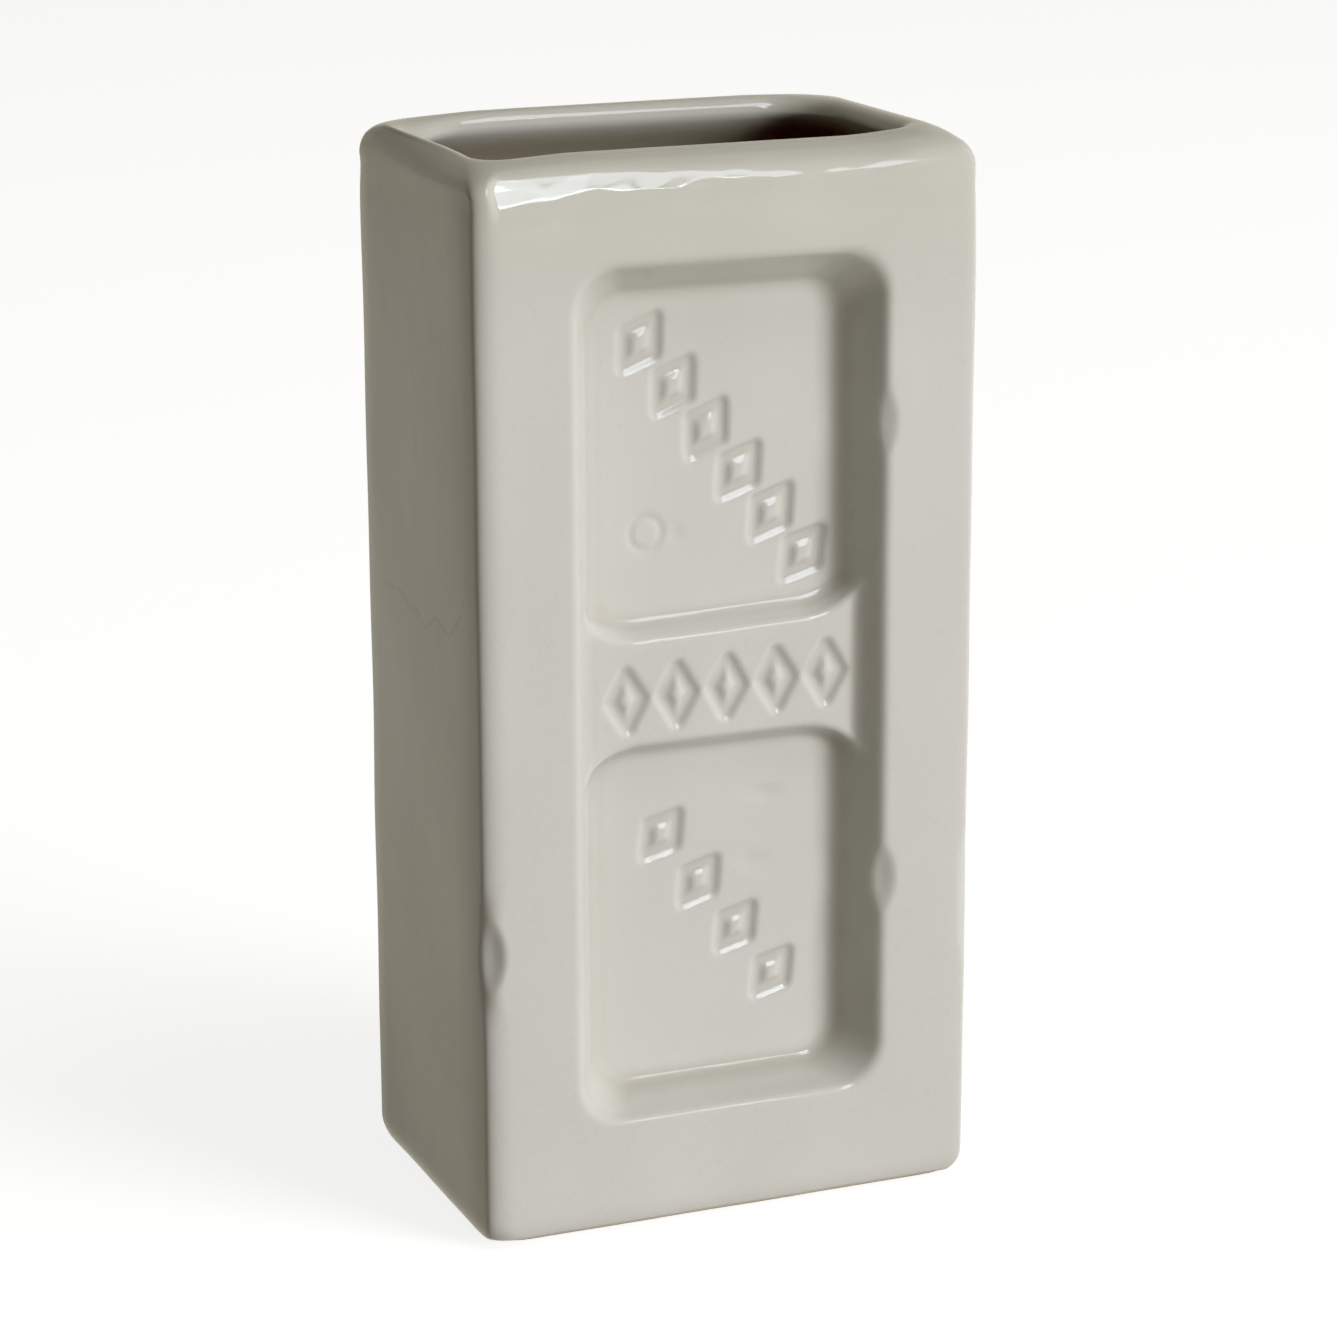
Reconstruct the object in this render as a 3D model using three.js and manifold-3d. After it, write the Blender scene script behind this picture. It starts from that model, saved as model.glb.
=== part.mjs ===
// A flower vase of slip-cast pottery in the shape of an old pressed building brick stood on its end.
// Units are millimetres and +Z is up. The origin is the middle of the foot.
// The brick's sunk panel, called the frog, looks along -Y, and the mouth is at the top.
// Two pieces: the hollow clay body, and the glaze that was melted on to it in one coat,
// outside, over the rim and inside, down to a bare foot.

import * as THREE from "three";
import { mergeVertices } from "three/addons/utils/BufferGeometryUtils.js";
import Module from "manifold-3d";

const wasm = await Module();
wasm.setup();

// The glazed vase over all.
const WIDTH = 104.2;
const DEPTH = 68;
const HEIGHT = 215;

// Clay and glaze.
const WALL = 5.5;
const FLOOR = 6.5;
const GLAZE = 0.45;
const BARE_FOOT = 1.6;

// Outside edges. The top edge is a long soft shoulder that climbs to the crest of the rim,
// which stands nearer to the two short sides than to the front and the back.
const ARRIS_RADIUS = 3.5;
const SHOULDER_RUN = 12;
const SHOULDER_DROP = 7.3;
const CREST_INSET = 7.8;
const CREST_SIDE_INSET = 5.2;
const CREST_SHIFT = 1;
const CREST_CORNER = 7.5;

// The rim was trimmed by hand: its front lies lower than its back, its left end sags, and its front
// climbs again at the right end.
const FRONT_RIM_DIP = 1.7;
const LEFT_RIM_SAG = 0.8;
const RIGHT_RIM_RISE = 0.9;
const RIM_END = 26;
const RIM_END_RUN = 22;
const DIP_REACH = 18;

// Bottom edge and foot.
const FOOT_RUN = 3;
const FOOT_RISE = 6;
const FOOT_CORNER = 8.5;
const FOOT_RING = 8;
const FOOT_HOLLOW = 1.2;

// Mouth: a rolled lip, narrower than the hollow under it, a little left of the middle, with rounder
// corners at the back than at the front.
const LIP_REACH = 3.8;
const LIP_SIDE_REACH = 3.4;
const LIP_DROP = 3.6;
const LIP_CORNER = 4.5;
const LIP_BACK_CORNER = 13;
const MOUTH_SHIFT = 2;
const UNDERCUT = 9;
const INNER_CORNER = 4;
const INNER_FLOOR_RADIUS = 5;

// Frog: the sunk panel, a little right of the middle, with sloped walls.
const FROG_WIDTH = 64;
const FROG_HEIGHT = 169.5;
const FROG_FROM_FOOT = 23.3;
const FROG_SHIFT = 0.5;
const FROG_DEPTH = 10.3;
const FROG_SIDE_RUN = 6.2;
const FROG_TOP_RUN = 6.7;
const FROG_BOTTOM_RUN = 4.4;
const FROG_CORNER = 9;
const FROG_FLOOR_CORNER = 8;
const FROG_ROLL = 2.4;
const FROG_FILLET = 3.2;

// Bar across the frog, which leaves a panel above it and one below. Its top edge climbs to the right.
const BAR_FROM_FROG = 74.9;
const BAR_HEIGHT = 21.2;
const BAR_TOP_RISE = 2;
const BAR_BELOW_FACE = 5.5;
const BAR_RUN = 2.6;
const BAR_ROLL = 1.6;
const BAR_FILLET = 1.8;
const BAR_FLARE_RUN = 12;
const BAR_FLARE_RISE = 8;

// Worn chips in the brick's edges: two on the frog's right edge and one on the left front arris.
// Each is one flake of an egg's shape, which bites the edge slantwise to a depth.
const UPPER_CHIP_Z = 159;
const UPPER_CHIP_DEPTH = 1;
const LOWER_CHIP_Z = 66.5;
const LOWER_CHIP_DEPTH = 1.4;
const ARRIS_CHIP_Z = 60.8;
const ARRIS_CHIP_DEPTH = 2.7;
const ARRIS_CHIP_REACH = 7;
const FLAKE_HALF_WIDTH = 7;
const FLAKE_HALF_HEIGHT = 9;
const FLAKE_HALF_THICKNESS = 4;

// Fineness of the facets.
const CORNER_STEPS = 5;
const CURVE_STEPS = 4;
const CHIP_STEPS = 24;
const MARGIN = 5;
const WELD = 1e-4;
const LEAST_CORNER = 0.5;
const LEAST_ROLL = 0.6;

// Colours and roughness of the two materials.
const CLAY_COLOR = 0xcbb69c;
const CLAY_ROUGHNESS = 0.9;
const GLAZE_COLOR = 0xc6c5bf;
const GLAZE_ROUGHNESS = 0.15;

// Places worked out from the sizes above.
const frogLeft = FROG_SHIFT - FROG_WIDTH / 2;
const frogRight = FROG_SHIFT + FROG_WIDTH / 2;
const frogBottom = FROG_FROM_FOOT;
const frogTop = FROG_FROM_FOOT + FROG_HEIGHT;
const barBottom = frogBottom + BAR_FROM_FROG;
const barTop = barBottom + BAR_HEIGHT;
const face = -DEPTH / 2;
const crestBack = DEPTH / 2 - CREST_INSET;
const midWall = WALL / 2;

// A closed geometry as a solid that can be joined and cut.
function solid(geometry) {
  const bare = geometry.clone();
  bare.deleteAttribute("normal");
  bare.deleteAttribute("uv");
  const merged = mergeVertices(bare, WELD);
  return new wasm.Manifold(
    new wasm.Mesh({
      numProp: 3,
      vertProperties: new Float32Array(merged.attributes.position.array),
      triVerts: new Uint32Array(merged.index.array),
    }),
  );
}

// A solid back to a geometry for a mesh.
function geometryOf(made) {
  const mesh = made.getMesh();
  const geometry = new THREE.BufferGeometry();
  geometry.setAttribute("position", new THREE.BufferAttribute(new Float32Array(mesh.vertProperties), 3));
  geometry.setIndex(new THREE.BufferAttribute(new Uint32Array(mesh.triVerts), 1));
  geometry.computeVertexNormals();
  return geometry;
}

// Points of a rectangle with round corners, counter-clockwise, as pairs. Its two high corners can
// have a radius of their own, and its low and high sides can carry points between their corners.
function roundRectangle(left, right, low, high, radius, highRadius = radius, between = []) {
  const corners = [
    { cx: right - highRadius, cy: high - highRadius, r: highRadius, next: between.toReversed() },
    { cx: left + highRadius, cy: high - highRadius, r: highRadius, next: [] },
    { cx: left + radius, cy: low + radius, r: radius, next: between },
    { cx: right - radius, cy: low + radius, r: radius, next: [] },
  ];
  return corners.flatMap(({ cx, cy, r, next }, quarter) => {
    const arc = Array.from({ length: CORNER_STEPS + 1 }, (_, step) => {
      const turn = (Math.PI / 2) * (quarter + step / CORNER_STEPS);
      return [cx + r * Math.cos(turn), cy + r * Math.sin(turn)];
    });
    const edge = arc[CORNER_STEPS][1];
    return [...arc, ...next.map((x) => [x, edge])];
  });
}

// A solid skinned over rings of points, all of one count, with its first and last ring closed flat.
// The rings run counter-clockwise seen from the side that the last one faces.
function loft(rings, toFlat) {
  const count = rings[0].length;
  const positions = rings.flat().flatMap((point) => [point.x, point.y, point.z]);
  const index = [];
  for (let ring = 0; ring < rings.length - 1; ring++) {
    for (let i = 0; i < count; i++) {
      const here = ring * count + i;
      const next = ring * count + ((i + 1) % count);
      index.push(here, next, next + count);
      index.push(here, next + count, here + count);
    }
  }
  for (const end of [0, rings.length - 1]) {
    const flat = rings[end].map(toFlat);
    const outward = THREE.ShapeUtils.isClockWise(flat) ? -1 : 1;
    for (const [a, b, c] of THREE.ShapeUtils.triangulateShape(flat, [])) {
      const turn = Math.sign(flat[b].clone().sub(flat[a]).cross(flat[c].clone().sub(flat[a])));
      const forward = turn * outward > 0 === end > 0;
      const base = end * count;
      index.push(base + a, base + (forward ? b : c), base + (forward ? c : b));
    }
  }
  const geometry = new THREE.BufferGeometry();
  geometry.setAttribute("position", new THREE.BufferAttribute(new Float32Array(positions), 3));
  geometry.setIndex(index);
  return geometry;
}

// Heights near the top follow the rim's dip, sag and rise.
function lean(point) {
  const near = THREE.MathUtils.clamp((point.z - HEIGHT + DIP_REACH) / DIP_REACH, 0, 1);
  const forward = (crestBack - point.y) / (2 * crestBack);
  const atLeft = THREE.MathUtils.smoothstep(-point.x, RIM_END, RIM_END + RIM_END_RUN);
  const atRight = THREE.MathUtils.smoothstep(point.x, RIM_END, RIM_END + RIM_END_RUN);
  const dip = (FRONT_RIM_DIP - RIGHT_RIM_RISE * atRight) * forward;
  point.z -= near * (dip + LEFT_RIM_SAG * atLeft);
  return point;
}

// A section of the wall: how far in from the front and back, how far in from the short sides, how far
// it is shifted to the left, its corner radius at the front and at the back, and its height.
function section(inset, corner, z, others = {}) {
  return { inset, side: inset, shift: 0, corner, back: corner, z, ...others };
}

// The section a share of the way from one to another.
function between(first, last, share) {
  const mixed = Object.keys(first).map((key) => [key, THREE.MathUtils.lerp(first[key], last[key], share)]);
  return Object.fromEntries(mixed);
}

// A section as a ring of points.
function level({ inset, side, shift, corner, back, z }) {
  const halfX = WIDTH / 2 - side;
  const halfY = DEPTH / 2 - inset;
  const ends = [-RIM_END, RIM_END];
  const ring = roundRectangle(-halfX - shift, halfX - shift, -halfY, halfY, corner, back, ends);
  return ring.map(([x, y]) => lean(new THREE.Vector3(x, y, z)));
}

// Moves a profile of sections into the clay, square to the surface. Its first section, the foot,
// moves sideways only, so that the foot stays level.
function shifted(profile, distance) {
  return profile.map((stop, i) => {
    const before = profile[Math.max(i - 1, 0)];
    const after = profile[Math.min(i + 1, profile.length - 1)];
    const along = new THREE.Vector2(after.inset - before.inset, after.z - before.z).normalize();
    const inward = i === 0 ? 1 : along.y;
    const down = i === 0 ? 0 : along.x;
    return {
      inset: stop.inset + distance * inward,
      side: stop.side + distance * inward,
      shift: stop.shift,
      corner: Math.max(stop.corner - distance * inward, LEAST_CORNER),
      back: Math.max(stop.back - distance * inward, LEAST_CORNER),
      z: stop.z - distance * down,
    };
  });
}

// The turns of a quarter circle, in even steps.
function quarterTurns() {
  return Array.from({ length: CURVE_STEPS + 1 }, (_, step) => (Math.PI / 2) * (step / CURVE_STEPS));
}

const crest = section(CREST_INSET, CREST_CORNER, HEIGHT, { side: CREST_SIDE_INSET, shift: CREST_SHIFT });

// The outside, from the foot to just short of the crest of the rim.
function outsideProfile() {
  const wall = section(0, ARRIS_RADIUS, FOOT_RISE);
  const foot = section(FOOT_RUN, FOOT_CORNER, 0);
  const profile = quarterTurns().map((turn) => ({
    ...between(wall, foot, 1 - Math.sin(turn)),
    z: FOOT_RISE * (1 - Math.cos(turn)),
  }));
  const crestTurn = Math.acos(1 - CREST_INSET / SHOULDER_RUN);
  const shoulderZ = HEIGHT - SHOULDER_DROP * Math.sin(crestTurn);
  for (let step = 0; step < CURVE_STEPS; step++) {
    const turn = (crestTurn * step) / CURVE_STEPS;
    const inset = SHOULDER_RUN * (1 - Math.cos(turn));
    profile.push({
      ...between(wall, crest, inset / CREST_INSET),
      z: shoulderZ + SHOULDER_DROP * Math.sin(turn),
    });
  }
  return profile;
}

// The inside, from the crest over the rolled lip and its undercut down to the floor of the hollow.
function insideProfile() {
  const lip = section(CREST_INSET + LIP_REACH, LIP_CORNER, HEIGHT - LIP_DROP, {
    side: CREST_SIDE_INSET + LIP_SIDE_REACH,
    shift: MOUTH_SHIFT,
    back: LIP_BACK_CORNER,
  });
  const hollow = section(WALL, INNER_CORNER, lip.z - UNDERCUT);
  const floorEdge = section(WALL + INNER_FLOOR_RADIUS, INNER_CORNER, FLOOR);
  const over = quarterTurns().map((turn) => ({
    ...between(crest, lip, Math.sin(turn)),
    z: lip.z + LIP_DROP * Math.cos(turn),
  }));
  const under = quarterTurns().map((turn, step) => {
    const share = step / CURVE_STEPS;
    const ease = (THREE.MathUtils.smoothstep(share, 0, 1) + Math.sin(turn)) / 2;
    return { ...between(lip, hollow, ease), z: THREE.MathUtils.lerp(lip.z, hollow.z, share) };
  });
  const floor = quarterTurns().map((turn) => ({
    ...between(hollow, floorEdge, 1 - Math.cos(turn)),
    z: FLOOR + INNER_FLOOR_RADIUS * (1 - Math.sin(turn)),
  }));
  return [...over, ...under.slice(1), ...floor];
}

// The slope of a sunk wall seen from its side: how far in from the edge at each depth,
// with the edge rolled over at the top and filleted at the bottom.
function slope(run, depth, roll, fillet) {
  const steep = Math.atan2(depth, run);
  const points = [];
  const rollReach = roll * Math.tan(steep / 2);
  const filletReach = fillet * Math.tan(steep / 2);
  for (let step = 0; step <= CURVE_STEPS; step++) {
    const turn = (steep * step) / CURVE_STEPS;
    points.push({ inset: -rollReach + roll * Math.sin(turn), depth: roll * (1 - Math.cos(turn)) });
  }
  for (let step = CURVE_STEPS; step >= 0; step--) {
    const turn = (steep * step) / CURVE_STEPS;
    points.push({
      inset: run + filletReach - fillet * Math.sin(turn),
      depth: depth - fillet * (1 - Math.cos(turn)),
    });
  }
  return points;
}

// Sizes of a slope that lies deeper in the clay by a distance, measured square to the surface.
function deeper(run, depth, roll, fillet, distance) {
  const steep = Math.atan2(depth, run);
  return {
    grow: distance * Math.tan(steep / 2),
    profile: slope(run, depth, Math.max(roll - distance, LEAST_ROLL), fillet + distance),
  };
}

// A profile's end carried on by one more of its steps, so that it crosses a face and doesn't end on it.
function carriedOn(from, end) {
  return { inset: 2 * end.inset - from.inset, depth: 2 * end.depth - from.depth };
}

// The cut that makes the frog, or its own shape further into the clay. It starts at a depth of its own.
function frogCut(distance, startDepth) {
  const { grow, profile } = deeper(FROG_SIDE_RUN, FROG_DEPTH, FROG_ROLL, FROG_FILLET, distance);
  const lead = carriedOn(profile[1], profile[0]);
  const start = { inset: lead.inset, depth: startDepth - distance };
  const rings = [start, lead, ...profile.slice(1)].map(({ inset, depth }) => {
    const share = inset / FROG_SIDE_RUN;
    const corner = THREE.MathUtils.lerp(FROG_CORNER, FROG_FLOOR_CORNER, share);
    const y = face + distance + depth;
    return roundRectangle(
      frogLeft - grow + FROG_SIDE_RUN * share,
      frogRight + grow - FROG_SIDE_RUN * share,
      frogBottom - grow + FROG_BOTTOM_RUN * share,
      frogTop + grow - FROG_TOP_RUN * share,
      corner + grow,
    ).map(([x, z]) => new THREE.Vector3(x, y, z));
  });
  return solid(loft(rings.reverse(), (point) => new THREE.Vector2(point.x, point.z)));
}

// One long side of the bar, from left to right: straight, and flared at each end to meet the frog's walls.
function barSide(half, reach) {
  const points = [[-half - reach, BAR_FLARE_RISE]];
  for (let step = CURVE_STEPS; step >= 0; step--) {
    const turn = (Math.PI / 2) * (step / (CURVE_STEPS + 1));
    const along = BAR_FLARE_RUN * (1 - Math.sin(turn));
    points.push([along - half, BAR_FLARE_RISE * (1 - Math.cos(turn))]);
  }
  const mirrored = points.map(([x, rise]) => [-x, rise]).reverse();
  return [...points, ...mirrored];
}

// The bar that the frog's cut leaves standing, or its own shape further into the clay.
function barLeft(distance) {
  const height = FROG_DEPTH - BAR_BELOW_FACE;
  const { grow, profile } = deeper(BAR_RUN, height, BAR_ROLL, BAR_FILLET, distance);
  const tail = carriedOn(profile[profile.length - 2], profile[profile.length - 1]);
  const end = { inset: tail.inset, depth: height + MARGIN };
  const rings = [...profile.slice(0, -1), tail, end].map(({ inset, depth }) => {
    const y = face + distance + BAR_BELOW_FACE + depth;
    const wallIn = (FROG_SIDE_RUN * (BAR_BELOW_FACE + depth)) / FROG_DEPTH;
    const half = FROG_WIDTH / 2 + grow - wallIn;
    const side = barSide(half, MARGIN + wallIn);
    const climb = BAR_TOP_RISE / FROG_WIDTH;
    const above = side.map(([x, rise]) => [x, barTop - grow + inset + rise + climb * x]);
    const below = side.map(([x, rise]) => [x, barBottom + grow - inset - rise]);
    return [...below, ...above.reverse()].map(([x, z]) => new THREE.Vector3(FROG_SHIFT + x, y, z));
  });
  return solid(loft(rings.reverse(), (point) => new THREE.Vector2(point.x, point.z)));
}

// The frog with its bar: cut from the front, or kept as the bulge that the frog makes in the hollow.
function sunkPanels(distance, startDepth) {
  return frogCut(distance, startDepth).subtract(barLeft(distance));
}

// The flake that a chip took from an edge of the front face: the edge's place, how far the flake
// leans from the face and how deep it bites. It is larger all round by a distance.
function flake(x, z, slant, depth, distance) {
  const geometry = new THREE.SphereGeometry(1, CHIP_STEPS, CHIP_STEPS / 2);
  geometry.rotateX(Math.PI / 2);
  geometry.scale(
    FLAKE_HALF_WIDTH + distance,
    FLAKE_HALF_THICKNESS + distance,
    FLAKE_HALF_HEIGHT + distance,
  );
  geometry.translate(0, depth - FLAKE_HALF_THICKNESS, 0);
  geometry.rotateZ(slant);
  geometry.translate(x, face, z);
  return solid(geometry);
}

function chips(distance) {
  const frogSlant = -Math.atan2(FROG_DEPTH, FROG_SIDE_RUN) / 2;
  const arrisSlant = -Math.asin(ARRIS_CHIP_DEPTH / ARRIS_CHIP_REACH);
  const upper = flake(frogRight, UPPER_CHIP_Z, frogSlant, UPPER_CHIP_DEPTH, distance);
  const lower = flake(frogRight, LOWER_CHIP_Z, frogSlant, LOWER_CHIP_DEPTH, distance);
  const arris = flake(-WIDTH / 2, ARRIS_CHIP_Z, arrisSlant, ARRIS_CHIP_DEPTH, distance);
  return upper.add(lower).add(arris);
}

// The whole vase, its surface a distance into the clay from the glazed surface, from a height up.
function vaseShape(distance, fromZ) {
  const profile = shifted([...outsideProfile(), ...insideProfile()], distance);
  const after = profile.findIndex(({ z }) => z > fromZ);
  const [low, high] = profile.slice(after - 1);
  const start = between(low, high, (fromZ - low.z) / (high.z - low.z));
  const rings = [start, ...profile.slice(after)].map(level);
  const shell = solid(loft(rings, (point) => new THREE.Vector2(point.x, point.y)));
  const bulge = sunkPanels(WALL - distance, midWall);
  return shell.add(bulge).subtract(sunkPanels(distance, -MARGIN)).subtract(chips(distance));
}

// The shallow hollow under the foot, inside the ring that it stands on.
function underFoot() {
  const inset = FOOT_RUN + FOOT_RING;
  const low = section(inset - MARGIN, FOOT_CORNER, -MARGIN);
  const high = section(inset + FOOT_HOLLOW, FOOT_CORNER, FOOT_HOLLOW);
  return solid(loft([low, high].map(level), (point) => new THREE.Vector2(point.x, point.y)));
}

const clay = vaseShape(GLAZE, 0);
const glazed = vaseShape(0, BARE_FOOT);

const clayBody = new THREE.Mesh(
  geometryOf(clay.subtract(underFoot())),
  new THREE.MeshStandardMaterial({ color: CLAY_COLOR, roughness: CLAY_ROUGHNESS }),
);
clayBody.name = "clay_body";

const glazeCoat = new THREE.Mesh(
  geometryOf(glazed.subtract(clay)),
  new THREE.MeshStandardMaterial({ color: GLAZE_COLOR, roughness: GLAZE_ROUGHNESS }),
);
glazeCoat.name = "glaze_coat";

const vase = new THREE.Group();
vase.add(clayBody, glazeCoat);

export default vase;
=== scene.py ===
# %% [markdown]
# # A brick-shaped vase of slip-cast pottery
# Liquid clay was poured into a plaster mould taken from an old pressed brick. The mould drank the
# water from the clay next to it, the rest was poured out, and what stayed was a hollow brick with
# an even wall. It was then dipped in a pale, glossy glaze. This lesson dresses the plain CAD solids
# as that vase: one smooth glazed skin, the bare clay under it, and marks pressed by hand.
# Everything is worked out in millimetres and only becomes metres when a mesh is made.

import math

import bpy
import numpy as np
from mathutils import Matrix, Vector


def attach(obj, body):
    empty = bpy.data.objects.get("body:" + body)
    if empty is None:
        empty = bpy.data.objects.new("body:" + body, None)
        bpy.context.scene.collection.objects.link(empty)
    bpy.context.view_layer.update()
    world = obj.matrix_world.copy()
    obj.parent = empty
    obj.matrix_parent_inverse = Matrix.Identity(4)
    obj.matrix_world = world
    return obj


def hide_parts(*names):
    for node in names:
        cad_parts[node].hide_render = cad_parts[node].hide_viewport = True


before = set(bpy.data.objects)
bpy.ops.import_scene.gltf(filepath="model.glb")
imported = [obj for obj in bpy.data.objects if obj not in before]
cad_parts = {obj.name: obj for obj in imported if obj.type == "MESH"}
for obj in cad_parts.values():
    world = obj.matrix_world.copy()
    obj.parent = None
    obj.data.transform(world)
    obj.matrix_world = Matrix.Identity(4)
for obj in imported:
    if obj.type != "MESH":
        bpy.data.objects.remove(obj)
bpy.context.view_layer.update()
print("CAD pieces:", sorted(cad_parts))

# %% [markdown]
# ## The sizes
# These are the sizes of the CAD solids. A looks model that starts from other numbers soon floats
# off its frame, so each size is repeated here once, by name, and every shape below is made from it.

# %% Sizes of the vase, in millimetres
WIDTH, DEPTH, HEIGHT = 104.2, 68.0, 215.0
WALL, FLOOR = 5.5, 6.5
GLAZE, BARE_FOOT = 0.45, 1.6
ARRIS_RADIUS = 3.5
SHOULDER_RUN, SHOULDER_DROP = 12.0, 7.3
CREST_INSET, CREST_SIDE_INSET, CREST_SHIFT, CREST_CORNER = 7.8, 5.2, 1.0, 7.5
FRONT_RIM_DIP, LEFT_RIM_SAG, RIGHT_RIM_RISE = 1.7, 0.8, 0.9
RIM_END, RIM_END_RUN, DIP_REACH = 26.0, 22.0, 18.0
FOOT_RUN, FOOT_RISE, FOOT_CORNER = 3.0, 6.0, 8.5
FOOT_RING, FOOT_HOLLOW = 8.0, 1.2
LIP_REACH, LIP_SIDE_REACH, LIP_DROP = 3.8, 3.4, 3.6
LIP_CORNER, LIP_BACK_CORNER, MOUTH_SHIFT = 4.5, 13.0, 2.0
UNDERCUT, INNER_CORNER, INNER_FLOOR_RADIUS = 9.0, 4.0, 5.0

FROG_WIDTH, FROG_HEIGHT, FROG_FROM_FOOT, FROG_SHIFT = 64.0, 169.5, 23.3, 0.5
FROG_DEPTH = 10.3
FROG_SIDE_RUN, FROG_TOP_RUN, FROG_BOTTOM_RUN = 6.2, 6.7, 4.4
FROG_CORNER, FROG_FLOOR_CORNER = 9.0, 8.0
FROG_ROLL, FROG_FILLET = 2.4, 3.2
BAR_FROM_FROG, BAR_HEIGHT, BAR_BELOW_FACE, BAR_TOP_RISE = 74.9, 21.2, 5.5, 2.0
BAR_RUN, BAR_ROLL = 2.6, 1.6
BAR_FLARE_RUN, BAR_FLARE_RISE = 12.0, 8.0
FLAKE_HALF_WIDTH, FLAKE_HALF_THICKNESS, FLAKE_HALF_HEIGHT = 7.0, 4.0, 9.0

FACE = -DEPTH / 2
FROG_LEFT = FROG_SHIFT - FROG_WIDTH / 2
FROG_RIGHT = FROG_SHIFT + FROG_WIDTH / 2
FROG_TOP = FROG_FROM_FOOT + FROG_HEIGHT
BAR_LOW = FROG_FROM_FOOT + BAR_FROM_FROG
BAR_HIGH = BAR_LOW + BAR_HEIGHT
print("sunk panel from", FROG_FROM_FOOT, "to", FROG_TOP, "mm up")

# %% [markdown]
# ## The camera
# The photograph was taken from a little left of the front and from above. The camera comes first,
# because a shape can only be compared with the photograph through the same lens. Its place is
# written as the angle round the vase, the height angle, the distance and a small tilt.

# %% Camera at the photograph's angle
AZIMUTH, ELEVATION, ROLL = math.radians(-22.146), math.radians(15.439), math.radians(-0.213)
DISTANCE, AIM_HEIGHT = 0.8146, 0.1075
SIDESTEP, RISE = 0.00047, -0.00277
LENS, SENSOR_WIDTH, NEAREST, FARTHEST = 109.47, 36, 0.05, 20


def from_angles(a, e):
    """The direction at the angle a round the vase from the front, and e above level."""
    return Vector((math.sin(a) * math.cos(e), -math.cos(a) * math.cos(e), math.sin(e)))


def photograph_camera():
    back = from_angles(AZIMUTH, ELEVATION)
    level = Vector((0, 0, 1)).cross(back).normalized()
    upright = back.cross(level)
    right = level * math.cos(ROLL) + upright * math.sin(ROLL)
    up = upright * math.cos(ROLL) - level * math.sin(ROLL)
    lens = bpy.data.cameras.new("photograph lens")
    lens.lens = LENS
    lens.sensor_width = SENSOR_WIDTH
    lens.clip_start, lens.clip_end = NEAREST, FARTHEST
    camera = bpy.data.objects.new("photograph camera", lens)
    bpy.context.collection.objects.link(camera)
    place = Vector((0, 0, AIM_HEIGHT)) + right * SIDESTEP + up * RISE + back * DISTANCE
    camera.matrix_world = Matrix.Translation(place) @ Matrix((right, up, back)).transposed().to_4x4()
    return camera


camera = photograph_camera()
bpy.context.scene.camera = camera
print("camera stands at", [round(v, 3) for v in camera.matrix_world.translation])

# %% [markdown]
# ## The wall, from foot to floor
# The wall of a cast vase is one line turned into a body: up the outside, over the rolled rim, down
# the inside and across the floor. Each stop on that line is a level section: how far it is set in
# from the front and the back, how far from the two short sides, how far it is shifted to the left,
# its corner radius at the front and at the back, and its height. The mouth was trimmed by hand: it
# lies a little to the left and its back corners are rounder. A box with bevels would be quicker,
# but its rim couldn't shift, dip and sag like that. More stops are spent where light turns.

# %% One stop of the line
INSET, SIDE, SHIFT, CORNER, BACK, Z = range(6)


def section(inset, corner, z, side=None, shift=0.0, back=None):
    side = inset if side is None else side
    back = corner if back is None else back
    return np.array([inset, side, shift, corner, back, z])


def between(first, last, share, z):
    stop = first + (last - first) * share
    stop[Z] = z
    return stop


def quarter_turns(steps):
    return np.linspace(0, math.pi / 2, steps + 1)


print("a stop is told by", len(section(0, ARRIS_RADIUS, 0)), "numbers")


# %% The line up the outside, in fine steps where it shows and in plain ones under the glaze
FINE_STEPS, PLAIN_STEPS = 9, 5
CREST = section(CREST_INSET, CREST_CORNER, HEIGHT, CREST_SIDE_INSET, CREST_SHIFT)


def outside_line(levels, steps):
    wall = section(0, ARRIS_RADIUS, FOOT_RISE)
    foot = section(FOOT_RUN, FOOT_CORNER, 0)
    line = []
    for turn in quarter_turns(steps):
        line.append(between(wall, foot, 1 - math.sin(turn), FOOT_RISE * (1 - math.cos(turn))))
    crest_turn = math.acos(1 - CREST_INSET / SHOULDER_RUN)
    shoulder = HEIGHT - SHOULDER_DROP * math.sin(crest_turn)
    line += [between(wall, wall, 0, z) for z in levels if FOOT_RISE < z < shoulder]
    for turn in np.linspace(0, crest_turn, steps + 1)[:-1]:
        share = SHOULDER_RUN * (1 - math.cos(turn)) / CREST_INSET
        line.append(between(wall, CREST, share, shoulder + SHOULDER_DROP * math.sin(turn)))
    return line


trial_outside = outside_line([], PLAIN_STEPS)
print("stops that the foot and the shoulder need:", len(trial_outside))


# %% The line over the lip and down the inside
PLAIN_LIP, CRISP_LIP = 2.0, 3.0


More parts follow.
